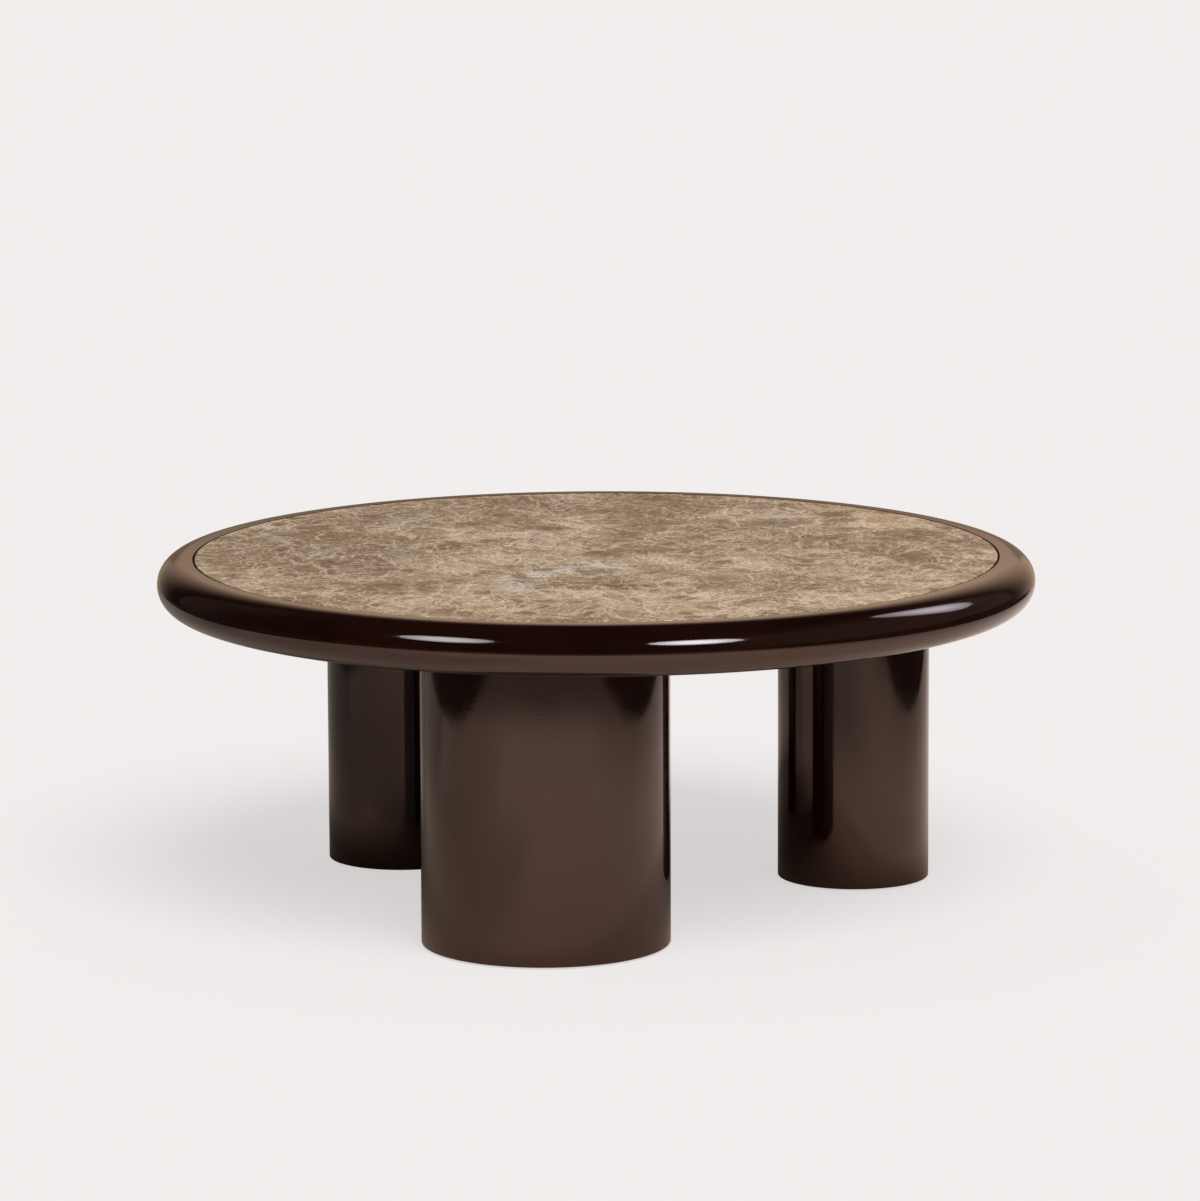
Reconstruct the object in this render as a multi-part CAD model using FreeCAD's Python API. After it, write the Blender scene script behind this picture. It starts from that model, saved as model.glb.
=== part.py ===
import FreeCAD, Part
import math
import os

# Round cocktail table: a bullnosed lacquered top with a stone inset, on one fat and two slim cylinder legs.
# Millimetres, Z up. The origin is on the floor under the centre of the top, and the fat leg stands towards -Y.

# Driving dimensions of the top
TOP_DIAMETER = 1000.0  # across the bullnose
OVERALL_HEIGHT = 396.0  # floor to the face of the stone
STONE_THICKNESS = 20.0
BEDDING_THICKNESS = 1.0  # silicone dots under the stone
DECK_THICKNESS = 18.0  # plywood that carries the stone
UNDERSIDE_THICKNESS = 18.0  # panel that closes the top from below
RIM_WIDTH = 41.0  # widest line of the bullnose in to the wall of the recess
RIM_ARRIS = 1.0  # eased inner edge of the rim's flat land
LEDGE_WIDTH = 18.0  # ledge inside the rim that carries the deck
STONE_JOINT = 2.0  # open joint round the stone
STONE_ARRIS = 1.2  # eased upper edge of the stone

# Driving dimensions of the legs
FRONT_LEG_DIAMETER = 277.0
SIDE_LEG_DIAMETER = 175.0
LEG_EDGE_INSET = 101.0  # widest line of the bullnose in to each leg's outer face
FRONT_LEG_ANGLE = -90.0  # degrees, so that the fat leg stands towards -Y
LEG_SPREAD = 120.0  # degrees from the front leg round to each side leg
LEG_WALL = 12.0
LEG_ARRIS = 1.5  # eased outer edges at the head and foot of a leg
TOP_PLUG_THICKNESS = 36.0
BASE_PLUG_THICKNESS = 18.0
BASE_PLUG_RECESS = 3.0  # foot of the shell up to the underside of the base plug
GLIDE_THICKNESS = 5.0
GLIDE_DIAMETER = 32.0
GLIDE_CHAMFER = 1.0  # lower edge
GLIDE_EDGE_MARGIN = 6.0  # edge of the base plug in to a glide
GLIDE_COUNT = 3

# Driving dimensions of the hardware
STUD_DIAMETER = 12.0
STUD_CHAMFER = 1.0
STUD_TAIL = 4.0  # stud that shows below the lower nut
STUD_TIP_DEPTH = 2.0  # face of the deck down to the tip of the stud
NUT_ACROSS_FLATS = 19.0
NUT_HEIGHT = 10.0
NUT_HEADROOM = 1.0  # upper nut to the mouth of its counterbore
WASHER_DIAMETER = 36.0
WASHER_THICKNESS = 2.5
TEE_FLANGE_DIAMETER = 38.0
TEE_FLANGE_THICKNESS = 2.0
TEE_BARREL_DIAMETER = 16.0
TEE_HEEL_GAP = 1.0  # end of the tee nut's barrel up from the underside of the deck
SCREW_TIP_LENGTH = 4.0
DECK_SCREW_DIAMETER = 5.0
DECK_SCREW_HEAD = 9.6  # diameter
DECK_SCREW_BITE = 13.0  # screw below the underside of the deck
LEDGE_SCREW_COUNT = 8
PANEL_SCREW_COUNT = 3
PANEL_SCREW_RADIUS = 200.0  # pitch circle of the screws into the underside panel
GLIDE_SCREW_DIAMETER = 3.5
GLIDE_SCREW_HEAD = 7.0  # diameter
GLIDE_SCREW_RECESS = 0.8  # sole of a glide up to the head of its screw
GLIDE_SCREW_BITE = 12.0  # screw in the base plug
DOT_DIAMETER = 30.0
DOT_INNER_RADIUS = 160.0
DOT_EDGE_MARGIN = 60.0  # edge of the stone in to the outer dots' centres
DOT_INNER_COUNT = 4
DOT_OUTER_COUNT = 8

# Clearances, each on one side
GLUE_GAP = 0.2  # round wood joints
THREAD_GAP = 0.1  # screw threads in their nuts and pilot holes
STUD_CLEARANCE = 0.75  # stud through wood and washers

# Derived sizes
top_thickness = STONE_THICKNESS + BEDDING_THICKNESS + DECK_THICKNESS + UNDERSIDE_THICKNESS
nose_radius = top_thickness / 2
rim_radius = TOP_DIAMETER / 2
nose_centre = rim_radius - nose_radius
recess_radius = rim_radius - RIM_WIDTH
ledge_radius = recess_radius - LEDGE_WIDTH
stone_radius = recess_radius - STONE_JOINT
under_level = OVERALL_HEIGHT - top_thickness
stone_level = OVERALL_HEIGHT - STONE_THICKNESS
deck_level = stone_level - BEDDING_THICKNESS
ledge_level = deck_level - DECK_THICKNESS
shell_foot = GLIDE_THICKNESS - BASE_PLUG_RECESS
plug_foot = under_level - TOP_PLUG_THICKNESS
counterbore_level = under_level - NUT_HEADROOM - NUT_HEIGHT - WASHER_THICKNESS
stud_radius = STUD_DIAMETER / 2
up = FreeCAD.Vector(0, 0, 1)
floor_centre = FreeCAD.Vector(0, 0, 0)

# Each leg: its name, its diameter and the direction in which it stands
legs = (
    ("front", FRONT_LEG_DIAMETER, FRONT_LEG_ANGLE),
    ("right", SIDE_LEG_DIAMETER, FRONT_LEG_ANGLE + LEG_SPREAD),
    ("left", SIDE_LEG_DIAMETER, FRONT_LEG_ANGLE - LEG_SPREAD),
)


def round_point(radius, degrees):
    return FreeCAD.Vector(radius * math.cos(math.radians(degrees)), radius * math.sin(math.radians(degrees)), 0)


def circle_points(radius, count, first_angle=0.0, centre=floor_centre):
    return [centre + round_point(radius, first_angle + 360.0 * i / count) for i in range(count)]


def cylinder(radius, bottom, top, centre=floor_centre):
    return Part.makeCylinder(radius, top - bottom, centre + up * bottom, up)


def turned(points):
    corners = [FreeCAD.Vector(radius, 0, height) for radius, height in points]
    outline = Part.makePolygon(corners + corners[:1])
    return Part.Face(outline).revolve(floor_centre, up, 360)


def ease_edges(shape, arris, radius, heights):
    edges = [
        edge
        for edge in shape.Edges
        if isinstance(edge.Curve, Part.Circle)
        and math.isclose(edge.Curve.Radius, radius)
        and any(math.isclose(edge.Curve.Center.z, height) for height in heights)
    ]
    return shape.makeFillet(arris, edges)


def save(name, *solids):
    shape = solids[0] if len(solids) == 1 else Part.makeCompound(solids)
    shape.exportStep("parts/" + name + ".step")


# Rim: the bullnose, its flat land, the recess for the stone and the ledge under the deck, in one turned section
def rim_ring():
    def corner(radius, height):
        return FreeCAD.Vector(radius, 0, height)

    nose = Part.Arc(
        corner(nose_centre, under_level),
        corner(rim_radius, under_level + nose_radius),
        corner(nose_centre, OVERALL_HEIGHT),
    )
    step = Part.makePolygon([
        corner(nose_centre, OVERALL_HEIGHT),
        corner(recess_radius, OVERALL_HEIGHT),
        corner(recess_radius, ledge_level),
        corner(ledge_radius, ledge_level),
        corner(ledge_radius, under_level),
        corner(nose_centre, under_level),
    ])
    section = Part.Face(Part.Wire([nose.toShape()] + step.Edges))
    ring = section.revolve(floor_centre, up, 360)
    return ease_edges(ring, RIM_ARRIS, recess_radius, [OVERALL_HEIGHT])


def stone():
    slab = cylinder(stone_radius, stone_level, OVERALL_HEIGHT)
    return ease_edges(slab, STONE_ARRIS, stone_radius, [OVERALL_HEIGHT])


# Countersunk wood screw, driven along Z from its head level to its tip level
def wood_screw(shank, head, head_level, tip_level):
    sense = math.copysign(1, tip_level - head_level)
    return turned([
        (0, tip_level),
        (shank, tip_level - sense * SCREW_TIP_LENGTH),
        (shank, head_level + sense * (head - shank)),
        (head, head_level),
        (0, head_level),
    ])


# Screw with its head flush in the deck, or with a gap the hole that takes it
def deck_screw(place, gap=0.0):
    shank = DECK_SCREW_DIAMETER / 2 + gap
    head = DECK_SCREW_HEAD / 2 + gap
    screw = wood_screw(shank, head, deck_level, ledge_level - DECK_SCREW_BITE - gap)
    return screw.translated(place)


# Screw with its head sunk in a glide, or with a gap the hole that takes it
def glide_screw(place, gap=0.0):
    shank = GLIDE_SCREW_DIAMETER / 2 + gap
    head = GLIDE_SCREW_HEAD / 2 + gap
    screw = wood_screw(shank, head, GLIDE_SCREW_RECESS, GLIDE_THICKNESS + GLIDE_SCREW_BITE + gap)
    return screw.translated(place)


# Nylon glide with a chamfered lower edge and a countersunk hole
def glide(place):
    radius = GLIDE_DIAMETER / 2
    disc = turned([
        (0, 0),
        (radius - GLIDE_CHAMFER, 0),
        (radius, GLIDE_CHAMFER),
        (radius, GLIDE_THICKNESS),
        (0, GLIDE_THICKNESS),
    ])
    mouth = cylinder(GLIDE_SCREW_HEAD / 2 + THREAD_GAP, 0, GLIDE_SCREW_RECESS, place)
    return disc.translated(place).cut([glide_screw(place, THREAD_GAP), mouth])


# Flanged tee nut, let into the face of the deck, or with a gap the hole that takes it
def tee_nut(place, gap=0.0):
    flange_foot = deck_level - TEE_FLANGE_THICKNESS
    barrel_foot = ledge_level + TEE_HEEL_GAP
    flange = cylinder(TEE_FLANGE_DIAMETER / 2 + gap, flange_foot, deck_level, place)
    barrel = cylinder(TEE_BARREL_DIAMETER / 2 + gap, barrel_foot, deck_level, place)
    return flange.fuse(barrel).removeSplitter()


def threaded_bore(shape, place):
    bore = cylinder(stud_radius + THREAD_GAP, 0, OVERALL_HEIGHT, place)
    return shape.cut(bore)


def hex_nut(place, foot):
    corner_radius = NUT_ACROSS_FLATS / 2 / math.cos(math.radians(30))
    corners = circle_points(corner_radius, 6, 0.0, place + up * foot)
    block = Part.Face(Part.makePolygon(corners + corners[:1])).extrude(up * NUT_HEIGHT)
    return threaded_bore(block, place)


def washer(place, foot):
    disc = cylinder(WASHER_DIAMETER / 2, foot, foot + WASHER_THICKNESS, place)
    return disc.cut(cylinder(stud_radius + STUD_CLEARANCE, foot, foot + WASHER_THICKNESS, place))


def stud(place):
    foot = plug_foot - WASHER_THICKNESS - NUT_HEIGHT - STUD_TAIL
    tip = deck_level - STUD_TIP_DEPTH
    rod = turned([
        (0, foot),
        (stud_radius - STUD_CHAMFER, foot),
        (stud_radius, foot + STUD_CHAMFER),
        (stud_radius, tip - STUD_CHAMFER),
        (stud_radius - STUD_CHAMFER, tip),
        (0, tip),
    ])
    return rod.translated(place)


def leg_shell(radius, place):
    tube = cylinder(radius, shell_foot, under_level, place)
    tube = ease_edges(tube, LEG_ARRIS, radius, [shell_foot, under_level])
    return tube.cut(cylinder(radius - LEG_WALL, shell_foot, under_level, place))


def top_plug(radius, place):
    plug = cylinder(radius, plug_foot, under_level, place)
    counterbore = cylinder(WASHER_DIAMETER / 2 + GLUE_GAP, counterbore_level, under_level, place)
    stud_hole = cylinder(stud_radius + STUD_CLEARANCE, plug_foot, under_level, place)
    return plug.cut(counterbore.fuse(stud_hole))


def base_plug(radius, glide_places, place):
    plug = cylinder(radius, GLIDE_THICKNESS, GLIDE_THICKNESS + BASE_PLUG_THICKNESS, place)
    return plug.cut([glide_screw(glide_place, THREAD_GAP) for glide_place in glide_places])


os.makedirs("parts", exist_ok=True)

# Legs, each with its stud clamped in the top plug and its tee nut in the deck
leg_places = []
for name, diameter, angle in legs:
    radius = diameter / 2
    plug_radius = radius - LEG_WALL - GLUE_GAP
    place = round_point(rim_radius - LEG_EDGE_INSET - radius, angle)
    leg_places.append(place)
    lower_washer = plug_foot - WASHER_THICKNESS
    glide_circle = plug_radius - GLIDE_EDGE_MARGIN - GLIDE_DIAMETER / 2
    glide_places = circle_points(glide_circle, GLIDE_COUNT, angle, place)
    save(name + "_leg_shell", leg_shell(radius, place))
    save(name + "_leg_top_plug", top_plug(plug_radius, place))
    save(name + "_leg_base_plug", base_plug(plug_radius, glide_places, place))
    save(name + "_leg_glides", *[glide(glide_place) for glide_place in glide_places])
    save(name + "_leg_glide_screws", *[glide_screw(glide_place) for glide_place in glide_places])
    save(name + "_leg_stud", stud(place))
    save(name + "_leg_stud_washers", washer(place, lower_washer), washer(place, counterbore_level))
    save(
        name + "_leg_stud_nuts",
        hex_nut(place, lower_washer - NUT_HEIGHT),
        hex_nut(place, counterbore_level + WASHER_THICKNESS),
    )
    save(name + "_leg_tee_nut", threaded_bore(tee_nut(place), place))

# Deck and underside panel, drilled for the studs and the screws that hold the top together
ledge_screws = circle_points(
    (recess_radius + ledge_radius) / 2, LEDGE_SCREW_COUNT, 180.0 / LEDGE_SCREW_COUNT
)
panel_screws = circle_points(PANEL_SCREW_RADIUS, PANEL_SCREW_COUNT, FRONT_LEG_ANGLE + LEG_SPREAD / 2)
ledge_holes = [deck_screw(place, THREAD_GAP) for place in ledge_screws]
panel_holes = [deck_screw(place, THREAD_GAP) for place in panel_screws]
stud_holes = [cylinder(stud_radius + STUD_CLEARANCE, 0, deck_level, place) for place in leg_places]
tee_holes = [tee_nut(place, GLUE_GAP) for place in leg_places]

deck = cylinder(recess_radius - GLUE_GAP, ledge_level, deck_level)
underside = cylinder(ledge_radius - GLUE_GAP, under_level, ledge_level)
save("deck_panel", deck.cut(ledge_holes + panel_holes + tee_holes + stud_holes))
save("underside_panel", underside.cut(panel_holes + stud_holes))
save("rim_ring", rim_ring().cut(ledge_holes))
save("deck_screws", *[deck_screw(place) for place in ledge_screws + panel_screws])

# Stone on its bedding
dot_places = [floor_centre]
dot_places += circle_points(DOT_INNER_RADIUS, DOT_INNER_COUNT)
dot_places += circle_points(stone_radius - DOT_EDGE_MARGIN, DOT_OUTER_COUNT)
save("bedding_dots", *[cylinder(DOT_DIAMETER / 2, deck_level, stone_level, place) for place in dot_places])
save("marble_inset", stone())
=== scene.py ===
import math
import bmesh
import bpy
from mathutils import Matrix, Vector


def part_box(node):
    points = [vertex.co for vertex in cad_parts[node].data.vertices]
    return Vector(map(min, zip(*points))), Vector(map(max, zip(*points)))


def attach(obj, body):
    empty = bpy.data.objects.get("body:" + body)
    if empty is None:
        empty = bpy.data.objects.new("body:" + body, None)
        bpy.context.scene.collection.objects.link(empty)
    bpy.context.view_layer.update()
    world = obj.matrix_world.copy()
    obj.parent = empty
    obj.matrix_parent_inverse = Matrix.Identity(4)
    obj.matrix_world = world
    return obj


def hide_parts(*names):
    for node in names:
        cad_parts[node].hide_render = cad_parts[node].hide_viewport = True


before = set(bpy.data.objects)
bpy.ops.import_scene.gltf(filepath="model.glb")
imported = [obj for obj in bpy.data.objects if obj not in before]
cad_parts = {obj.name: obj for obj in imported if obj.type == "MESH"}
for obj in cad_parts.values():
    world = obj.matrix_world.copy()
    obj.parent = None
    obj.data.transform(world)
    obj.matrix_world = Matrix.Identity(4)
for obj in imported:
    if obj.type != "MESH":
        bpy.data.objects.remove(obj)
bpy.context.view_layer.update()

# Round cocktail table: lacquered bullnose rim, brown marble inset, one fat and two slim drum legs.
# Metres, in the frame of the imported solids. Turned pieces take their sizes from the solids' boxes.
legSides = ("front", "right", "left")
print("frame loaded,", len(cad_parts), "solids")


# Small helpers for nodes and colours

noiseSpread = (0.3, 0.7)  # where most of a noise lies


def tone(red, green, blue):  # display colour, 0 to 255, as a linear node colour
    def linear(value):
        value /= 255.0
        return value / 12.92 if value <= 0.04045 else ((value + 0.055) / 1.055) ** 2.4
    return (linear(red), linear(green), linear(blue), 1.0)


def feed(tree, socket, value):  # a link or a fixed value
    if isinstance(value, bpy.types.NodeSocket):
        tree.links.new(value, socket)
    else:
        socket.default_value = value


def addNode(tree, kind, inputs=None, **settings):
    node = tree.nodes.new("ShaderNode" + kind)
    for name, value in settings.items():
        setattr(node, name, value)
    for socket, value in (inputs or {}).items():
        feed(tree, node.inputs[socket], value)
    return node


def math2(tree, operation, first, second):
    return addNode(tree, "Math", {0: first, 1: second}, operation=operation).outputs[0]


def times(tree, first, second):
    return math2(tree, "MULTIPLY", first, second)


def larger(tree, first, second):
    return math2(tree, "MAXIMUM", first, second)


def vector2(tree, operation, inputs):
    return addNode(tree, "VectorMath", inputs, operation=operation).outputs


def noise(tree, where, scale, detail=2.0, roughness=0.5, warp=0.0, space="3D"):
    values = {"Vector": where, "Scale": scale, "Detail": detail, "Roughness": roughness, "Distortion": warp}
    return addNode(tree, "TexNoise", values, noise_dimensions=space).outputs


def cells(tree, where, scale, feature="F1", space="3D"):
    values = {"Vector": where, "Scale": scale}
    return addNode(tree, "TexVoronoi", values, feature=feature, voronoi_dimensions=space).outputs


def span(tree, value, low, high, lowOut=0.0, highOut=1.0, smooth=True):
    values = {"Value": value, "From Min": low, "From Max": high, "To Min": lowOut, "To Max": highOut}
    style = "SMOOTHSTEP" if smooth else "LINEAR"
    return addNode(tree, "MapRange", values, interpolation_type=style).outputs["Result"]


def blendColours(tree, amount, first, second, blend="MIX"):
    node = addNode(tree, "Mix", data_type="RGBA", blend_type=blend)
    for socket, value in ((0, amount), (6, first), (7, second)):
        feed(tree, node.inputs[socket], value)
    return node.outputs[2]


def shift(tree, where, by, amount):  # moves texture coordinates by a noise colour
    centred = vector2(tree, "SUBTRACT", {0: by, 1: (0.5, 0.5, 0.5)})[0]
    scaled = vector2(tree, "SCALE", {0: centred, "Scale": amount})[0]
    return vector2(tree, "ADD", {0: where, 1: scaled})[0]


def axesOf(tree, vector):
    return addNode(tree, "SeparateXYZ", {0: vector}).outputs


def ownPlace(tree):  # where a point of the surface lies
    return addNode(tree, "TexCoord").outputs["Object"]


def newFinish(name):
    finish = bpy.data.materials.new(name)
    finish.use_nodes = True
    tree = finish.node_tree
    return finish, tree, tree.nodes["Principled BSDF"], ownPlace(tree)


def paint(tree, shader, amount, first, second):  # base colour between two display colours
    feed(tree, shader.inputs["Base Color"], blendColours(tree, amount, tone(*first), tone(*second)))


def dull(tree, shader, pattern, limits):  # roughness between two limits
    feed(tree, shader.inputs["Roughness"], span(tree, pattern, *noiseSpread, *limits))


def bump(tree, shader, height, strength, distance):
    values = {"Height": height, "Strength": strength, "Distance": distance}
    feed(tree, shader.inputs["Normal"], addNode(tree, "Bump", values).outputs["Normal"])


# Lacquer: near-black red brown, polished, with a faint haze and orange peel

lacquerLook = {
    "colour": (24, 8, 5),
    "deeper": (18, 5, 3),
    "cloudScale": 9.0,
    "gloss": (1.0, 0.74, 0.62, 1.0),  # warm tint of the mirror
    "ior": 1.77,
    "roughness": (0.045, 0.085),
    "hazeScale": 26.0,
    "peelScale": 420.0,
    "peel": (0.35, 0.00004),  # strength, depth
}


def lacquerFinish():
    finish, tree, shader, where = newFinish("lacquer")
    clouds = noise(tree, where, lacquerLook["cloudScale"], 3.0)["Fac"]
    paint(tree, shader, span(tree, clouds, 0.35, 0.65), lacquerLook["deeper"], lacquerLook["colour"])
    haze = noise(tree, where, lacquerLook["hazeScale"], 4.0, 0.6)["Fac"]
    dull(tree, shader, haze, lacquerLook["roughness"])
    shader.inputs["IOR"].default_value = lacquerLook["ior"]
    shader.inputs["Specular Tint"].default_value = lacquerLook["gloss"]
    bump(tree, shader, noise(tree, where, lacquerLook["peelScale"], 1.0)["Fac"], *lacquerLook["peel"])
    return finish


# Marble: pale granular ground, brown clasts of three sizes, a broken cream web, grey wisps and a few cracks

marbleLook = {
    "colours": {
        "brown": (124, 98, 71),
        "ground": (152, 126, 98),
        "tan": (184, 159, 131),
        "clast": (97, 73, 49),
        "rust": (168, 131, 94),
        "web": (224, 207, 185),
        "wisp": (204, 198, 190),
        "crack": (80, 66, 54),
    },
    "turn": 12.65,  # degrees; the patches lie to the side and ahead as seen from there
    "grain": (1.0, 0.8, 1.0),  # drawn out along the slab
    # scale, detail and roughness of a noise, and how far it moves the pattern
    "warps": {
        "bent": (9.0, 3.0, 0.55, 0.075),
        "ragged": (45.0, 4.0, 0.6, 0.018),
        "crumbled": (190.0, 2.0, 0.6, 0.005),
        "eased": (110.0, 3.0, 0.6, 0.01),
        "rough": (28.0, 5.0, 0.65, 0.045),
    },
    # scale, detail and roughness of the other noises
    "clouds": (7.0, 8.0, 0.68),
    "grains": (95.0, 4.0, 0.8),
    "gritNoise": (240.0, 3.0, 0.9),
    "polish": (45.0, 3.0, 0.6),
    # from where to where in the noise a colour sets in, and how strong
    "groundFrom": (0.32, 0.52),
    "tanFrom": (0.46, 0.68, 0.0, 0.9),
    "grainsFrom": (0.5, 0.68, 0.0, 0.6),
    "wispsFrom": (0.3, 0.5, 0.4, 1.0),
    # warp, scale, which cells, scale and width of the seams between them, strength
    "clasts": (
        ("crumbled", 13.0, 0.5, 0.75, 20.0, 0.2, 0.38),
        ("crumbled", 36.0, 0.4, 0.7, 14.0, 0.3, 0.46),
        ("eased", 95.0, 0.4, 0.7, 24.0, 0.3, 0.52),
    ),
    "clastEdge": 0.09,
    # scale, width, scale and limits of the noise that breaks them, strength
    "threads": (
        (9.0, 0.012, 8.0, 0.46, 0.56, 1.0),
        (24.0, 0.02, 13.0, 0.46, 0.58, 0.8),
    ),
    "crackThreads": (7.0, 0.005, 6.0, 0.58, 0.66, 0.5),
    # warp, and then as for the threads
    "veins": (
        ("crumbled", 13.0, 0.035, 9.0, 0.42, 0.56, 1.0),
        ("crumbled", 36.0, 0.07, 14.0, 0.42, 0.58, 1.0),
        ("eased", 95.0, 0.12, 20.0, 0.45, 0.6, 0.8),
    ),
    "webStrength": 0.7,
    "grit": 0.38,
    "tanLift": 1.12,  # large patches
    "brownDrop": 0.87,
    "roughness": (0.34, 0.46),
    "ior": 1.45,
    "relief": (0.1, 0.0002),
    "shadeStart": 0.0004,  # painted shade in the open joint, from this far below the face
    "shadeEnd": 0.001,
    "shade": 0.2,
    # where a patch starts to fade and where it ends, in half widths
    "fades": {
        "tan": (0.2, 1.2),
        "brown": (0.4, 1.2),
        "clast": (0.6, 1.15),
        "rust": (0.6, 1.15),
        "wisp": (0.2, 1.3),
        "crack": (0.6, 1.15),
    },
    # to the side, ahead, half width, half depth, strength
    "patches": {
        "tan": (
            (-0.15, -0.03, 0.06, 0.20, 0.4),
            (0.10, -0.07, 0.16, 0.06, 0.5),
            (0.12, -0.33, 0.36, 0.11, 0.65),
            (0.33, -0.13, 0.12, 0.14, 0.25),
            (0.315, 0.205, 0.05, 0.025, 0.7),
            (-0.13, -0.30, 0.10, 0.12, 0.5),
        ),
        "brown": (
            (-0.28, 0.02, 0.15, 0.19, 0.85),
            (0.17, 0.13, 0.14, 0.08, 0.5),
            (0.36, 0.07, 0.08, 0.10, 0.6),
            (-0.38, 0.02, 0.1, 0.17, 0.8),
            (0.0, 0.075, 0.06, 0.05, 0.5),
            (0.0, 0.37, 0.28, 0.09, 0.8),
            (-0.20, 0.27, 0.16, 0.11, 0.75),
            (-0.01, -0.19, 0.06, 0.06, 0.6),
            (-0.28, -0.19, 0.07, 0.07, 0.5),
        ),
        "clast": (
            (0.282, 0.272, 0.028, 0.042, 0.85),
            (-0.06, 0.188, 0.046, 0.02, 0.75),
            (-0.107, 0.094, 0.026, 0.03, 0.6),
            (0.0, 0.01, 0.02, 0.045, 0.7),
            (0.092, -0.309, 0.022, 0.016, 0.9),
            (0.04, -0.235, 0.024, 0.024, 0.8),
            (0.13, 0.175, 0.03, 0.03, 0.6),
            (0.13, -0.075, 0.02, 0.03, 0.6),
        ),
        "rust": (
            (0.335, 0.243, 0.030, 0.038, 0.7),
        ),
        "wisp": (
            (-0.365, 0.14, 0.024, 0.055, 0.4),
            (-0.235, 0.235, 0.03, 0.05, 0.2),
            (-0.075, 0.135, 0.034, 0.028, 0.35),
            (0.225, 0.265, 0.045, 0.05, 0.35),
            (0.01, -0.085, 0.036, 0.018, 0.85),
            (-0.035, -0.115, 0.024, 0.022, 0.95),
            (-0.065, -0.155, 0.018, 0.03, 0.9),
            (-0.095, -0.225, 0.028, 0.052, 0.8),
        ),
        "crack": (
            (-0.02, -0.082, 0.022, 0.005, 0.65),
            (-0.052, -0.108, 0.016, 0.007, 0.7),
            (-0.084, -0.15, 0.006, 0.022, 0.65),
        ),
    },
}


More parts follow.
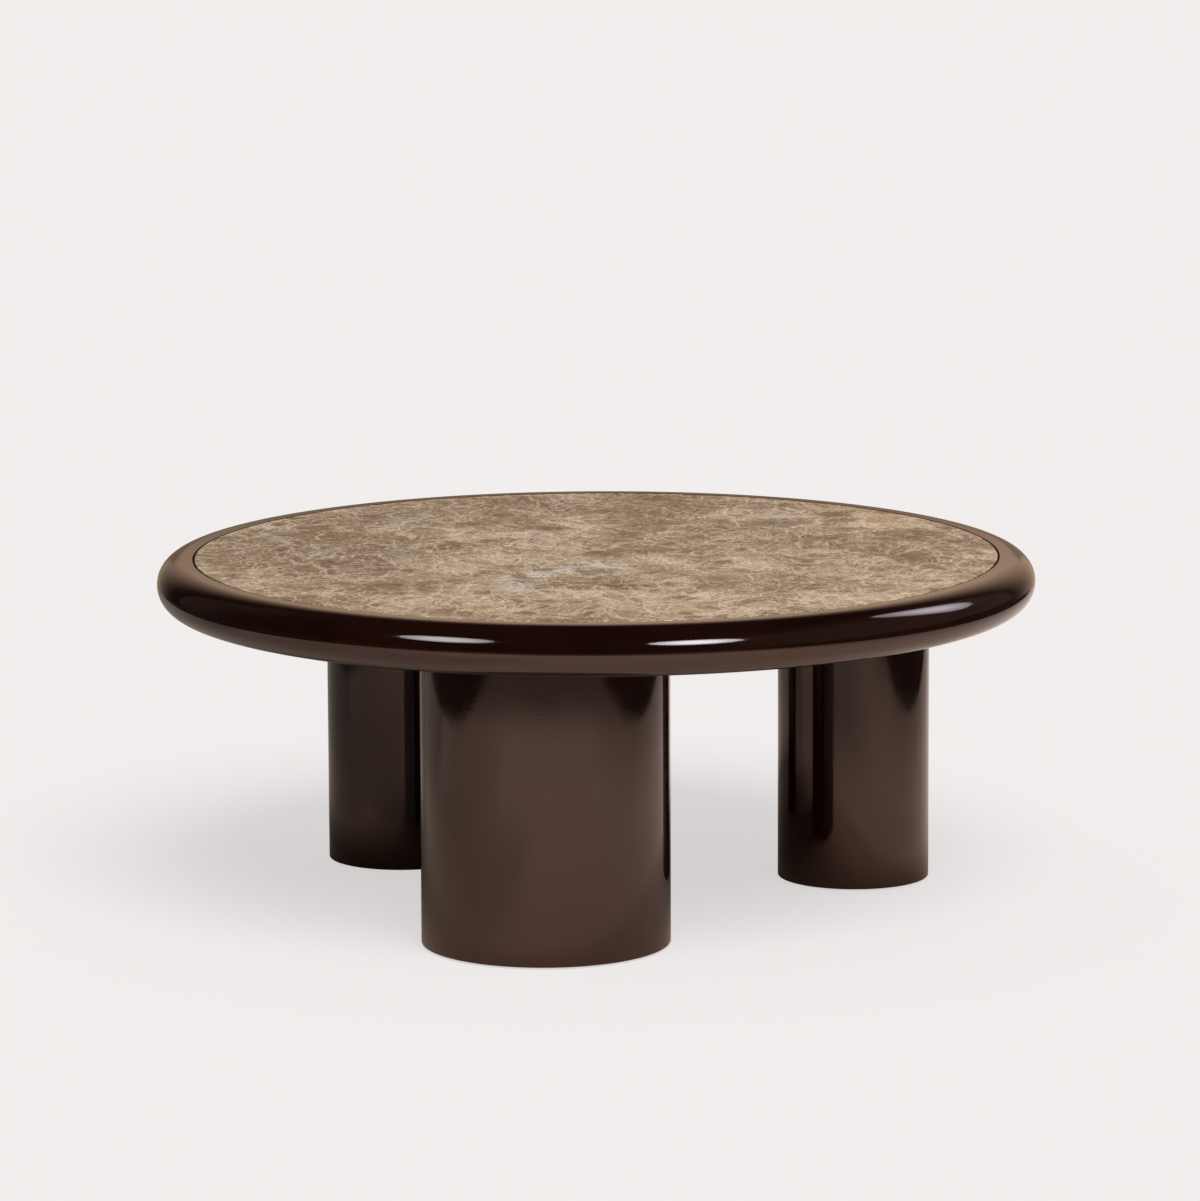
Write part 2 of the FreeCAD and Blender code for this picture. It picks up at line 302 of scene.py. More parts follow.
def marbleFinish():
    finish, tree, shader, place = newFinish("marble")
    lie = {"Vector": place, "Rotation": (0, 0, -math.radians(marbleLook["turn"]))}
    aligned = addNode(tree, "Mapping", lie).outputs[0]
    where = vector2(tree, "MULTIPLY", {0: aligned, 1: marbleLook["grain"]})[0]
    colours = {name: tone(*colour) for name, colour in marbleLook["colours"].items()}

    def flat(scale, detail, roughness, at=where):
        return noise(tree, at, scale, detail, roughness, 0.0, "2D")

    def layer(colour, amount, name):
        return blendColours(tree, amount, colour, colours[name])

    def warped(at, name):
        scale, detail, roughness, amount = marbleLook["warps"][name]
        return shift(tree, at, flat(scale, detail, roughness)["Color"], amount)

    bent = warped(where, "bent")
    pattern = {"crumbled": warped(warped(bent, "ragged"), "crumbled"), "eased": warped(bent, "eased")}
    rough = warped(aligned, "rough")

    def edgeOf(warp, scale):
        return cells(tree, pattern[warp], scale, "DISTANCE_TO_EDGE", "2D")["Distance"]

    def broken(line, detail, scale, low, high, strength):
        gaps = span(tree, flat(scale, detail, 0.6, bent)["Fac"], low, high)
        return times(tree, times(tree, line, gaps), strength)

    def clasts(warp, scale, low, high, seamScale, seam, strength):
        cellColour = cells(tree, pattern[warp], scale, "F1", "2D")["Color"]
        own = addNode(tree, "SeparateColor", {0: cellColour}).outputs[0]
        width = span(tree, flat(seamScale, 3.0, 0.6, bent)["Fac"], *noiseSpread, 0.0, seam, False)
        clear = math2(tree, "SUBTRACT", edgeOf(warp, scale), width)
        inside = span(tree, clear, 0.0, marbleLook["clastEdge"])
        return times(tree, times(tree, span(tree, own, low, high), inside), strength)

    def veins(warp, scale, width, *gaps):  # edges of cells
        line = span(tree, edgeOf(warp, scale), 0.0, width, 1.0, 0.0)
        return broken(line, 4.0, *gaps)

    def threads(scale, width, *gaps):  # ridges of a noise
        ridge = math2(tree, "SUBTRACT", flat(scale, 5.0, 0.6, pattern["eased"])["Fac"], 0.5)
        line = span(tree, math2(tree, "ABSOLUTE", ridge, 0.0), 0.0, width, 1.0, 0.0)
        return broken(line, 3.0, *gaps)

    def patches(name):
        total = 0.0
        for side, ahead, wide, deep, strength in marbleLook["patches"][name]:
            scaled = {0: rough, 1: (1 / wide, 1 / deep, 0), 2: (-side / wide, -ahead / deep, 0)}
            placed = vector2(tree, "MULTIPLY_ADD", scaled)[0]
            away = vector2(tree, "LENGTH", {0: placed})["Value"]
            total = larger(tree, span(tree, away, *marbleLook["fades"][name], strength, 0.0), total)
        return total

    # pale granular ground, clouded
    clouds = flat(*marbleLook["clouds"], bent)["Fac"]
    sunk = span(tree, clouds, *marbleLook["groundFrom"])
    colour = blendColours(tree, sunk, colours["brown"], colours["ground"])
    colour = layer(colour, span(tree, clouds, *marbleLook["tanFrom"]), "tan")
    tanPatches = patches("tan")
    brownPatches = patches("brown")
    colour = layer(colour, tanPatches, "tan")
    colour = layer(colour, brownPatches, "brown")
    grains = flat(*marbleLook["grains"], pattern["eased"])["Fac"]
    colour = layer(colour, span(tree, grains, *marbleLook["grainsFrom"]), "web")
    wisps = times(tree, patches("wisp"), span(tree, clouds, *marbleLook["wispsFrom"]))
    colour = layer(colour, wisps, "wisp")
    # clasts, large to small
    for values in marbleLook["clasts"]:
        colour = layer(colour, clasts(*values), "clast")
    colour = layer(colour, patches("clast"), "clast")
    colour = layer(colour, patches("rust"), "rust")
    # cream threads and veins, dark cracks
    web = 0.0
    for values in marbleLook["threads"]:
        web = larger(tree, threads(*values), web)
    for values in marbleLook["veins"]:
        web = larger(tree, veins(*values), web)
    colour = layer(colour, times(tree, web, marbleLook["webStrength"]), "web")
    cracks = larger(tree, patches("crack"), threads(*marbleLook["crackThreads"]))
    colour = layer(colour, cracks, "crack")
    # grit, and painted shade on the stone's edge down in the open joint
    grit = flat(*marbleLook["gritNoise"])["Fac"]
    level = span(tree, grit, *noiseSpread, 1.0 - marbleLook["grit"], 1.0 + marbleLook["grit"], False)
    for amount, name in ((tanPatches, "tanLift"), (brownPatches, "brownDrop")):
        level = times(tree, level, span(tree, amount, 0.0, 1.0, 1.0, marbleLook[name], False))
    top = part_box("marble_inset")[1].z
    deep, shallow = top - marbleLook["shadeEnd"], top - marbleLook["shadeStart"]
    level = times(tree, level, span(tree, axesOf(tree, place)[2], deep, shallow, marbleLook["shade"], 1.0))
    grey = addNode(tree, "CombineColor", {0: level, 1: level, 2: level}).outputs[0]
    feed(tree, shader.inputs["Base Color"], blendColours(tree, 1.0, colour, grey, "MULTIPLY"))
    polish = flat(*marbleLook["polish"])["Fac"]
    dull(tree, shader, polish, marbleLook["roughness"])
    shader.inputs["IOR"].default_value = marbleLook["ior"]
    bump(tree, shader, polish, *marbleLook["relief"])
    return finish


# Plywood: grain along the sheet on the faces, plies on the edges

plywoodLook = {
    "early": (205, 172, 128),
    "late": (176, 138, 94),
    "darkPly": (128, 92, 58),
    "ply": 0.0015,  # thickness of one ply
    "stretch": (6.0, 90.0, 90.0),
    "grain": (1.0, 5.0, 0.65, 0.8),  # scale, detail, roughness, warp
    "edgeOnly": (0.2, 0.6, 0.55, 0.0),  # by how far a face looks up or down
    "roughness": (0.7, 0.5),  # late to early wood
    "relief": (0.3, 0.0003),
}


def plywoodFinish():
    finish, tree, shader, where = newFinish("plywood")
    stretched = addNode(tree, "Mapping", {"Vector": where, "Scale": plywoodLook["stretch"]}).outputs[0]
    grain = noise(tree, stretched, *plywoodLook["grain"])["Fac"]
    late, early, darkPly = (tone(*plywoodLook[name]) for name in ("late", "early", "darkPly"))
    colour = blendColours(tree, span(tree, grain, *noiseSpread), late, early)
    pair = math2(tree, "DIVIDE", axesOf(tree, where)[2], plywoodLook["ply"] * 2.0)
    band = span(tree, math2(tree, "FRACT", pair, 0.0), 0.45, 0.55)
    normal = addNode(tree, "NewGeometry").outputs["Normal"]
    level = math2(tree, "ABSOLUTE", axesOf(tree, normal)[2], 0.0)
    edge = span(tree, level, *plywoodLook["edgeOnly"])
    colour = blendColours(tree, times(tree, edge, band), colour, darkPly)
    feed(tree, shader.inputs["Base Color"], colour)
    dull(tree, shader, grain, plywoodLook["roughness"])
    bump(tree, shader, grain, *plywoodLook["relief"])
    return finish


# Hardware: bright zinc on steel

zincLook = {
    "bright": (196, 200, 203),
    "dull": (158, 163, 168),
    "spangleScale": 420.0,
    "brushScale": 900.0,
    "roughness": (0.25, 0.42),
    "relief": (0.2, 0.00003),
}


def zincFinish():
    finish, tree, shader, where = newFinish("zincSteel")
    spangle = cells(tree, where, zincLook["spangleScale"])["Color"]
    patch = addNode(tree, "SeparateColor", {0: spangle}).outputs[0]
    paint(tree, shader, patch, zincLook["dull"], zincLook["bright"])
    shader.inputs["Metallic"].default_value = 1.0
    brushed = noise(tree, where, zincLook["brushScale"], 2.0)["Fac"]
    dull(tree, shader, brushed, zincLook["roughness"])
    bump(tree, shader, brushed, *zincLook["relief"])
    return finish


# Glides: moulded black nylon with a fine grain

nylonLook = {
    "colour": (38, 37, 36),
    "rubbed": (58, 57, 55),
    "rubScale": 160.0,
    "grainScale": 2600.0,
    "roughness": (0.42, 0.6),
    "relief": (0.3, 0.00006),
}


def nylonFinish():
    finish, tree, shader, where = newFinish("nylon")
    rubbed = noise(tree, where, nylonLook["rubScale"], 4.0, 0.6)["Fac"]
    paint(tree, shader, span(tree, rubbed, 0.45, 0.7), nylonLook["colour"], nylonLook["rubbed"])
    dull(tree, shader, rubbed, nylonLook["roughness"])
    bump(tree, shader, noise(tree, where, nylonLook["grainScale"], 1.0)["Fac"], *nylonLook["relief"])
    return finish


# Bedding dots: clear-cured silicone

siliconeLook = {
    "colour": (196, 194, 188),
    "cloud": (176, 174, 168),
    "cloudScale": 80.0,
    "roughness": 0.38,
    "relief": (0.2, 0.0002),
}


def siliconeFinish():
    finish, tree, shader, where = newFinish("silicone")
    cloud = noise(tree, where, siliconeLook["cloudScale"], 3.0)["Fac"]
    paint(tree, shader, cloud, siliconeLook["colour"], siliconeLook["cloud"])
    shader.inputs["Roughness"].default_value = siliconeLook["roughness"]
    bump(tree, shader, cloud, *siliconeLook["relief"])
    return finish


finishes = {
    "lacquer": lacquerFinish(),
    "marble": marbleFinish(),
    "plywood": plywoodFinish(),
    "zinc_steel": zincFinish(),
    "nylon": nylonFinish(),
    "silicone": siliconeFinish(),
}
print("finishes made:", ", ".join(finishes))


# Turned pieces: a section with rounded square corners, spun round an upright axis

meshCare = {
    "merge": 1e-6,  # points closer than this are one
    "sliver": 1e-7,
    "sharp": 40.0,  # degrees between faces that meet in a hard edge
}


def roundedSection(corners):  # radius, height, rounding and its steps
    points = []
    for index, (radius, height, rounding, steps) in enumerate(corners):
        here = Vector((radius, height))
        if not rounding:
            points.append(here)
            continue
        before = (Vector(corners[index - 1][:2]) - here).normalized()
        after = (Vector(corners[(index + 1) % len(corners)][:2]) - here).normalized()
        centre = here + (before + after) * rounding
        for step in range(steps + 1):
            angle = math.pi / 2 * step / steps
            points.append(centre - after * rounding * math.cos(angle) - before * rounding * math.sin(angle))
    return points


def madePiece(name, form, slotName, node):  # the form as an object, in place of its solid
    bmesh.ops.remove_doubles(form, verts=form.verts, dist=meshCare["merge"])
    bmesh.ops.dissolve_degenerate(form, edges=form.edges, dist=meshCare["sliver"])
    loose = [edge for edge in form.edges if not edge.link_faces]
    bmesh.ops.delete(form, geom=loose, context="EDGES")
    bmesh.ops.recalc_face_normals(form, faces=form.faces)
    for face in form.faces:
        face.smooth = True
    mesh = bpy.data.meshes.new(name)
    form.to_mesh(mesh)
    form.free()
    mesh.set_sharp_from_angle(angle=math.radians(meshCare["sharp"]))
    mesh.materials.append(finishes[slotName])
    piece = bpy.data.objects.new(name, mesh)
    bpy.context.scene.collection.objects.link(piece)
    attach(piece, "root")
    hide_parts(node)


def spun(form, section, centre, segments):
    ring = [form.verts.new((centre.x + point.x, centre.y, point.y)) for point in section]
    edges = [form.edges.new((ring[i - 1], ring[i])) for i in range(len(ring))]
    bmesh.ops.spin(form, geom=ring + edges, cent=(centre.x, centre.y, 0.0), axis=(0, 0, 1),
                   angle=math.tau, steps=segments, use_merge=True)


def turnedPiece(name, section, centre, segments, slotName, node):
    form = bmesh.new()
    spun(form, roundedSection(section), centre, segments)
    madePiece(name, form, slotName, node)


def radiusOf(node):
    low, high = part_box(node)
    return (high.x - low.x) / 2


def centreOf(node):
    low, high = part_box(node)
    return (low + high) / 2


# Top: the rim and the stone let into it

topShape = {
    "arris": 0.001,  # inner edge of the rim
    "stoneArris": 0.0012,
    "arrisSteps": 6,
    "noseSteps": 26,
    "gap": 0.0002,  # round the panels let into the rim
    "hold": 0.0006,  # holding loop beside a rounding
    "stoneLoops": (0.66, 0.33),  # shares of the stone's radius
    "segments": 288,
}


def buildTop():
    rimLow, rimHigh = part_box("rim_ring")
    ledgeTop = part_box("deck_panel")[0].z
    rimRadius = min(rimHigh.x, rimHigh.y, -rimLow.x, -rimLow.y)
    nose = (rimHigh.z - rimLow.z) / 2
    recess = radiusOf("deck_panel") + topShape["gap"]
    ledge = radiusOf("underside_panel") + topShape["gap"]
    arris, arrisSteps, noseSteps = topShape["arris"], topShape["arrisSteps"], topShape["noseSteps"]
    hold, segments = topShape["hold"], topShape["segments"]
    middle = Vector((0, 0, 0))
    rim = [
        (recess, ledgeTop, 0, 0),
        (recess, rimHigh.z - arris - hold, 0, 0),
        (recess, rimHigh.z, arris, arrisSteps),
        (recess + arris + hold, rimHigh.z, 0, 0),
        (rimRadius - nose - hold, rimHigh.z, 0, 0),
        (rimRadius, rimHigh.z, nose, noseSteps),
        (rimRadius, rimLow.z, nose, noseSteps),
        (rimRadius - nose - hold, rimLow.z, 0, 0),
        (ledge, rimLow.z, 0, 0),
        (ledge, ledgeTop, 0, 0),
    ]
    turnedPiece("rimLacquered", rim, middle, segments, "lacquer", "rim_ring")
    stoneLow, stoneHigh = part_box("marble_inset")
    stoneRadius = radiusOf("marble_inset")
    arris = topShape["stoneArris"]
    stone = [
        (0, stoneLow.z, 0, 0),
        (stoneRadius, stoneLow.z, 0, 0),
        (stoneRadius, stoneHigh.z - arris - hold, 0, 0),
        (stoneRadius, stoneHigh.z, arris, arrisSteps),
        (stoneRadius - arris - hold, stoneHigh.z, 0, 0),
    ]
    stone += [(stoneRadius * share, stoneHigh.z, 0, 0) for share in topShape["stoneLoops"]]
    stone.append((0, stoneHigh.z, 0, 0))
    turnedPiece("stoneInset", stone, middle, segments, "marble", "marble_inset")


# Legs: lacquered tubes with eased edges at head and foot

legShape = {
    "wall": 0.012,
    "arris": 0.0015,
    "arrisSteps": 6,
    "hold": 0.0006,
    "segments": 192,
}


def buildLegs():
    arris, arrisSteps = legShape["arris"], legShape["arrisSteps"]
    eased = arris + legShape["hold"]
    for side in legSides:
        node = side + "_leg_shell"
        low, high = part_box(node)
        outer = radiusOf(node)
        inner = outer - legShape["wall"]
        tube = [
            (inner, low.z, 0, 0),
            (outer - eased, low.z, 0, 0),
            (outer, low.z, arris, arrisSteps),
            (outer, low.z + eased, 0, 0),
            (outer, (low.z + high.z) / 2, 0, 0),
            (outer, high.z - eased, 0, 0),
            (outer, high.z, arris, arrisSteps),
            (outer - eased, high.z, 0, 0),
            (inner, high.z, 0, 0),
        ]
        turnedPiece(side + "LegTube", tube, centreOf(node), legShape["segments"], "lacquer", node)


# Hardware: each solid of a node gets its threads, recess or chamfers, in its place

def solidBoxes(node):  # box of each separate solid in a node
    form = bmesh.new()
    form.from_mesh(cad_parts[node].data)
    form.transform(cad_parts[node].matrix_world)
    bmesh.ops.remove_doubles(form, verts=form.verts, dist=meshCare["merge"])
    boxes = []
    seen = set()
    for first in form.verts:
        if first in seen:
            continue
        seen.add(first)
        group = [first]
        for vert in group:
            others = [edge.other_vert(vert) for edge in vert.link_edges]
            fresh = [other for other in others if other not in seen]
            seen.update(fresh)
            group.extend(fresh)
        axes = list(zip(*(vert.co for vert in group)))
        boxes.append((Vector([min(axis) for axis in axes]), Vector([max(axis) for axis in axes])))
    form.free()
    return boxes


def upright(low, high, sense=1):  # places by radius, angle and distance from one end
    middle = (low + high) / 2
    start = low.z if sense > 0 else high.z

    def place(radius, angle, along):
        aside, ahead = radius * math.cos(angle), radius * math.sin(angle)
        return (middle.x + aside, middle.y + ahead, start + sense * along)
    return place


threadShape = {
    "steps": 24,  # round one turn
    "studPitch": 0.00175,
    "studDepth": 0.00107,
    "studChamfer": 0.001,
}


def ringOf(form, place, radius, along):
    steps = threadShape["steps"]
    return [form.verts.new(place(radius, math.tau * step / steps, along)) for step in range(steps)]


def bridge(form, first, second):
    for i in range(len(first)):
        form.faces.new((first[i - 1], first[i], second[i], second[i - 1]))


def addThread(form, place, begin, end, crest, depth, pitch, limit):
    steps = threadShape["steps"]
    before = None
    for step in range(math.ceil(((end - begin) / pitch + 1) * steps) + 1):
        row = []
        for part, radius in ((0, crest - depth), (1, crest), (2, crest - depth)):
            along = begin + pitch * (step / steps + part / 2 - 1)
            along = min(max(along, begin), end)
            row.append(form.verts.new(place(min(radius, limit(along)), math.tau * step / steps, along)))
        if before:
            form.faces.new((before[0], row[0], row[1], before[1]))
            form.faces.new((before[1], row[1], row[2], before[2]))
        before = row


def addStud(form, low, high):
    radius = (high.x - low.x) / 2
    length = high.z - low.z
    depth, chamfer = threadShape["studDepth"], threadShape["studChamfer"]
    place = upright(low, high)

    def limit(along):
        return radius - chamfer + min(along, length - along, chamfer)
    addThread(form, place, 0.0, length, radius, depth, threadShape["studPitch"], limit)
    for along in (0.0, length):
        form.faces.new(ringOf(form, place, radius - depth, along))


screwShape = {
    "deck": {"shank": 0.0025, "pitch": 0.0022, "sense": -1},  # driven down
    "glide": {"shank": 0.00175, "pitch": 0.0014, "sense": 1},  # driven up
    "tip": 0.004,
    "core": 0.72,  # of the shank
    "recess": {"reach": 0.6, "half": 0.14, "depth": 0.55, "floor": 0.55},  # cross, in shares of the head
}


def addScrew(form, low, high, kind):
    shape, recess = screwShape[kind], screwShape["recess"]
    head = (high.x - low.x) / 2
    length = high.z - low.z
    shank = shape["shank"]
    core = shank * screwShape["core"]
    place = upright(low, high, shape["sense"])
    rim = ringOf(form, place, head, 0.0)
    bridge(form, rim, ringOf(form, place, core, head - core))
    reach, half = recess["reach"], recess["half"]
    mouth, floor = [], []
    for quarter in range(4):
        for ahead, aside in ((reach, -half), (reach, half), (half, half)):
            angle = math.atan2(aside, ahead) + quarter * math.pi / 2
            radius = math.hypot(ahead, aside) * head
            mouth.append(form.verts.new(place(radius, angle, 0.0)))
            floor.append(form.verts.new(place(radius * recess["floor"], angle, recess["depth"] * head)))
    bridge(form, mouth, floor)
    form.faces.new(floor)
    edges = [form.edges.get((loop[i - 1], loop[i])) for loop in (rim, mouth) for i in range(len(loop))]
    bmesh.ops.triangle_fill(form, use_beauty=True, edges=edges)

    def limit(along):
        return shank * (length - along) / screwShape["tip"]
    addThread(form, place, head - core, length, shank, shank - core, shape["pitch"], limit)


nutShape = {
    "bore": 0.0061,
    "boreChamfer": 0.0006,
    "face": 0.95,  # flat of each face, of the distance across the flats
    "slope": 30.0,  # degrees
    "steps": 48,
}


def addNut(form, low, high):
    flats = (high.y - low.y) / 2
    bore, ease, steps = nutShape["bore"], nutShape["boreChamfer"], nutShape["steps"]
    face = flats * nutShape["face"]
    place = upright(low, high)
    height = high.z - low.z
    columns = []
    for step in range(steps):
        angle = math.tau * step / steps
        reach = flats / math.cos(angle % (math.pi / 3) - math.pi / 6)
        drop = (reach - face) * math.tan(math.radians(nutShape["slope"]))
        lower = [(bore, ease), (bore + ease, 0.0), (face, 0.0), (reach, drop)]
        points = lower + [(radius, height - along) for radius, along in reversed(lower)]
        columns.append([form.verts.new(place(radius, angle, along)) for radius, along in points])
    for i in range(steps):
        bridge(form, columns[i - 1], columns[i])


fittingShape = {
    "ease": 0.0003,  # washers and tee nuts
    "easeSteps": 3,
    "washerBore": 0.00675,
    "teeBarrel": 0.008,
    "teeFlange": 0.002,  # thickness
    "glideRound": 0.0011,  # edge on the floor
    "glideSteps": 6,
    "glideMouth": 0.0036,
    "glideSink": 0.0008,  # sole up to the head of the screw
    "glideBore": 0.00185,
    "segments": 64,
}


def addTurned(form, low, high, section):
    spun(form, roundedSection(section), (low + high) / 2, fittingShape["segments"])


def addWasher(form, low, high):
    bore, outer = fittingShape["washerBore"], (high.x - low.x) / 2
    eased = (fittingShape["ease"], fittingShape["easeSteps"])
    addTurned(form, low, high, [
        (bore, low.z, 0, 0),
        (outer, low.z, *eased),
        (outer, high.z, *eased),
        (bore, high.z, 0, 0),
    ])


def addTeeNut(form, low, high):
    bore, barrel, outer = nutShape["bore"], fittingShape["teeBarrel"], (high.x - low.x) / 2
    under = high.z - fittingShape["teeFlange"]
    eased = (fittingShape["ease"], fittingShape["easeSteps"])
    addTurned(form, low, high, [
        (bore, low.z, 0, 0),
        (barrel, low.z, *eased),
        (barrel, under, 0, 0),
        (outer, under, *eased),
        (outer, high.z, *eased),
        (bore, high.z, 0, 0),
    ])


def addGlide(form, low, high):
    mouth, bore, outer = fittingShape["glideMouth"], fittingShape["glideBore"], (high.x - low.x) / 2
    seat = low.z + fittingShape["glideSink"]
    addTurned(form, low, high, [
        (mouth, low.z, 0, 0),
        (outer, low.z, fittingShape["glideRound"], fittingShape["glideSteps"]),
        (outer, high.z, fittingShape["ease"], fittingShape["easeSteps"]),
        (bore, high.z, 0, 0),
        (bore, seat + mouth - bore, 0, 0),
        (mouth, seat, 0, 0),
    ])


def fitHardware(name, node, slotName, add, *options):
    form = bmesh.new()
    for low, high in solidBoxes(node):
        add(form, low, high, *options)
    madePiece(name, form, slotName, node)


def buildHardware():
    fitHardware("deckScrews", "deck_screws", "zinc_steel", addScrew, "deck")
    for side in legSides:
        leg = side + "_leg_"
        fitHardware(side + "GlideScrews", leg + "glide_screws", "zinc_steel", addScrew, "glide")
        fitHardware(side + "Glides", leg + "glides", "nylon", addGlide)
        fitHardware(side + "Stud", leg + "stud", "zinc_steel", addStud)
        fitHardware(side + "StudNuts", leg + "stud_nuts", "zinc_steel", addNut)
        fitHardware(side + "StudWashers", leg + "stud_washers", "zinc_steel", addWasher)
        fitHardware(side + "TeeNut", leg + "tee_nut", "zinc_steel", addTeeNut)


buildTop()
print("top turned")
buildLegs()
print("legs turned")
buildHardware()
print("hardware fitted")


# Solids that stay as they are, in the finish of their slot

nodeFinishes = {
    "underside_panel": "lacquer",
    "deck_panel": "plywood",
    "bedding_dots": "silicone",
}
for side in legSides:
    nodeFinishes[side + "_leg_top_plug"] = "plywood"
    nodeFinishes[side + "_leg_base_plug"] = "plywood"
for node, slotName in nodeFinishes.items():
    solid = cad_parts[node]
    if not solid.material_slots:
        solid.data.materials.append(finishes[slotName])
    for materialSlot in solid.material_slots:
        materialSlot.material = finishes[slotName]
print("finishes given to", len(nodeFinishes), "solids")


# Camera at the photograph's viewing angle

cameraSetup = {
    "lens": 193.25,  # mm
    "sensor": 36.0,  # mm
    "turn": 12.65,  # degrees round from straight in front of the fat leg
    "aside": 0.0043,
    "distance": 7.2533,
    "height": 1.5689,
    "pitch": 9.603,
    "roll": -0.252,
    "sight": 200.0,  # how far it sees
}
cameraTurn = Matrix.Rotation(math.radians(cameraSetup["turn"]), 4, "Z")  # x to its right, y away from it


def buildCamera():
    turn = math.radians(cameraSetup["turn"])
    pitch = math.radians(cameraSetup["pitch"])
    right = Vector((math.cos(turn), math.sin(turn), 0))
    ahead = Vector((-math.sin(turn), math.cos(turn), 0))
    plumb = Vector((0, 0, 1))
    look = ahead * math.cos(pitch) - plumb * math.sin(pitch)
    over = ahead * math.sin(pitch) + plumb * math.cos(pitch)
    place = right * cameraSetup["aside"] - ahead * cameraSetup["distance"] + plumb * cameraSetup["height"]
    heading = Matrix((right, over, -look)).transposed().to_4x4()
    roll = Matrix.Rotation(math.radians(cameraSetup["roll"]), 4, "Z")
    camera = bpy.data.objects.new("camera", bpy.data.cameras.new("camera"))
    camera.data.lens = cameraSetup["lens"]
    camera.data.sensor_width = cameraSetup["sensor"]
    camera.data.clip_end = cameraSetup["sight"]
    camera.matrix_world = Matrix.Translation(place) @ heading @ roll
    bpy.context.scene.collection.objects.link(camera)
    bpy.context.scene.camera = camera


buildCamera()
print("camera placed")


# Studio: pale floor and surroundings, an even fill and a soft key from the front

studio = {
    "pale": (242, 238, 237),
    "fill": 0.3,  # light on a level surface
    "keyShare": 0.7,
    "keyTurn": 15.0,  # degrees to the right of the camera
    "keyHeight": 50.0,
    "keySoftness": 40.0,
    "keyAway": 4.0,
    "floorSize": 70.0,
    "floorGlow": 0.7,  # share of the floor that shadows don't reach
    "underFeet": 0.012,  # light passes the floor this close under the feet, for looks from below
}


def seenRays(tree):  # camera, gloss and glass
    path = addNode(tree, "LightPath").outputs
    gloss = larger(tree, path["Is Glossy Ray"], path["Is Transmission Ray"])
    return larger(tree, path["Is Camera Ray"], gloss)


def buildWorld():
    world = bpy.data.worlds.new("studio")
    world.use_nodes = True
    bpy.context.scene.world = world
    tree = world.node_tree
    tree.nodes.clear()
    fill = addNode(tree, "Background", {"Color": (1, 1, 1, 1), "Strength": studio["fill"]}).outputs[0]
    pale = addNode(tree, "Background", {"Color": tone(*studio["pale"]), "Strength": 1.0}).outputs[0]
    both = addNode(tree, "MixShader", {0: seenRays(tree), 1: fill, 2: pale}).outputs[0]
    addNode(tree, "OutputWorld", {"Surface": both})


def emptyFinish(name):
    finish = bpy.data.materials.new(name)
    finish.use_nodes = True
    finish.node_tree.nodes.clear()
    return finish, finish.node_tree


def shine(tree, colour):  # the surface gives off this colour
    glow = addNode(tree, "Emission", {"Color": colour}).outputs[0]
    addNode(tree, "OutputMaterial", {"Surface": glow})


def lying(left, right, front, back, height):
    return [(left, front, height), (right, front, height), (right, back, height), (left, back, height)]


def standing(start, end, low, top):
    return [(*start, low), (*end, low), (*end, top), (*start, top)]


def setPiece(name, mesh, finish):  # part of the studio set
    mesh.materials.append(finish)
    board = bpy.data.objects.new(name, mesh)
    board.matrix_world = cameraTurn
    bpy.context.scene.collection.objects.link(board)
    return board


def flatPiece(name, corners, finish):
    mesh = bpy.data.meshes.new(name)
    mesh.from_pydata(corners, [], [tuple(range(len(corners)))])
    return setPiece(name, mesh, finish)


def onlyInGloss(board):
    board.visible_camera = False
    board.visible_diffuse = False
    board.visible_shadow = False
    board.visible_transmission = False


def buildFloor():
    half = studio["floorSize"]
    finish, tree = emptyFinish("paleFloor")
    pale = tone(*studio["pale"])
    lit = addNode(tree, "BsdfDiffuse", {"Color": pale}).outputs[0]
    glow = addNode(tree, "Emission", {"Color": pale, "Strength": 1.0}).outputs[0]
    share = times(tree, seenRays(tree), studio["floorGlow"])
    top = addNode(tree, "MixShader", {0: share, 1: lit, 2: glow}).outputs[0]
    clear = addNode(tree, "BsdfTransparent").outputs[0]
    below = addNode(tree, "NewGeometry").outputs["Backfacing"]
    length = addNode(tree, "LightPath").outputs["Ray Length"]
    close = math2(tree, "LESS_THAN", length, studio["underFeet"])
    sides = addNode(tree, "MixShader", {0: larger(tree, below, close), 1: top, 2: clear}).outputs[0]
    addNode(tree, "OutputMaterial", {"Surface": sides})
    flatPiece("floor", lying(-half, half, -half, half, 0), finish)


# Set that only the gloss mirrors: a roll of pale paper under the table, its wall behind and a dark room
# round it. A fade is from where to where it goes, and its strength at both places.

glossSet = {
    "left": -1.57,  # extent of the paper
    "right": 1.46,
    "front": -1.95,
    "back": 2.4,
    "dark": (0.014, 0.011, 0.009, 1.0),
    "grey": (0.24, 0.22, 0.20, 1.0),  # bare floor in front of the paper
}
paperLook = {
    "bright": (0.94, 0.77, 0.69, 1.0),
    "farShade": (0.30, 0.26, 0.22, 1.0),  # painted shade: away to the back left, at the right end and beside the fat leg
    "nearShade": (0.64, 0.48, 0.40, 1.0),  # painted shadow of the table, close round it
    "lean": 0.6,  # how far the first fade turns to the back
    "fade": (-1.3, 0.3),
    "rightFade": (0.7, 1.6, 0.0, 0.7),
    "leftEnd": (-1.4, -0.8, 0.35, 0.0),  # painted light, brighter again at the left end
    "leftEndBack": (-0.05, 0.2, 1.0, 0.0),
    "nearRing": (0.4, 0.54, 1.0, 0.0),
    "nearFade": (0.5, 1.3, 0.35, 0.0),
    "legFoot": (-0.057, -0.254, 0.0),  # fat leg
    "footShade": (0.6, 1.2, 0.36, 0.0),  # painted shade round the fat leg, on its left
    "footShadeRight": (-0.4, -0.1, 1.0, 0.0),
    "frontFade": (1.45, 1.8),  # from the fat leg to the grey of the bare floor
    "frontFadeBack": (-1.2, -0.6, 1.0, 0.0),
    "level": 0.0008,
}


